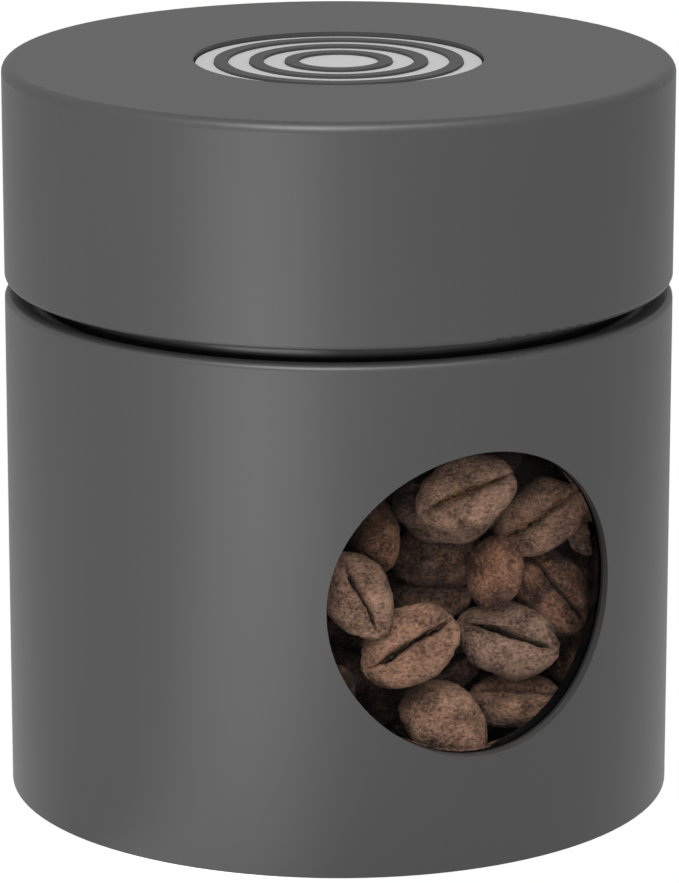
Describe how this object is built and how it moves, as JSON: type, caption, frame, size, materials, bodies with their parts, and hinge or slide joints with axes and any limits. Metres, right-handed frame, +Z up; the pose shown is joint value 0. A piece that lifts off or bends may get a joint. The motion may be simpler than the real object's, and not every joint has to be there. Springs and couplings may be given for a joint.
{
  "type": "coffee canister",
  "caption": "Small round coffee canister: grey steel body with a round window, lift-off lid with a sprung press valve, filled with roasted beans.",
  "frame": {"origin": "centre of the base, on the surface that the canister stands on", "axes": "+Z up through the lid, -Y towards the window, +X to the right of the window"},
  "size_m": [0.08, 0.08, 0.089],
  "materials": {
    "shell_grey": "matte dark grey powder coat",
    "jar_black": "glossy black",
    "clear_pane": "clear",
    "gasket_black": "matte",
    "base_black": "fine grain",
    "foot_rubber": "matte",
    "coffee": "dark roast, slightly oily",
    "liner_black": "moulded",
    "frame_grey": "moulded",
    "silicone": "translucent grey silicone",
    "seat_white": "moulded acetal",
    "steel": "plain steel",
    "disc_grey": "light grey satin",
    "grip_grey": "dark grey soft"
  },
  "bodies": {
    "canister": {"outer_shell": "shell_grey", "base_cap": "base_black", "foot_ring": "foot_rubber", "base_screws": "steel", "inner_jar": "jar_black", "window_pane": "clear_pane", "window_gasket": "gasket_black", "bean_bed": "coffee", "window_beans": "coffee"},
    "lid": {"lid_cover": "shell_grey", "lid_frame": "frame_grey", "lid_liner": "liner_black", "lid_seal": "silicone", "lid_screws": "steel", "valve_seat": "seat_white", "valve_spring": "steel", "valve_guard": "liner_black"},
    "button": {"button_disc": "disc_grey", "button_rings": "grip_grey", "button_carrier": "frame_grey", "valve_stem": "steel", "valve_poppet": "frame_grey", "poppet_washer": "silicone", "stem_clip": "steel"}
  },
  "joints": [
    {"name": "lid_lift", "type": "slide", "parent": "canister", "child": "lid", "axis": [0, 0, 1], "range_m": [0, 0.03]},
    {"name": "button_press", "type": "slide", "parent": "lid", "child": "button", "axis": [0, 0, -1], "range_m": [0, 0.002], "stiffness_N_per_m": 1000, "springref_m": -0.003, "deforming": ["valve_spring"]}
  ]
}
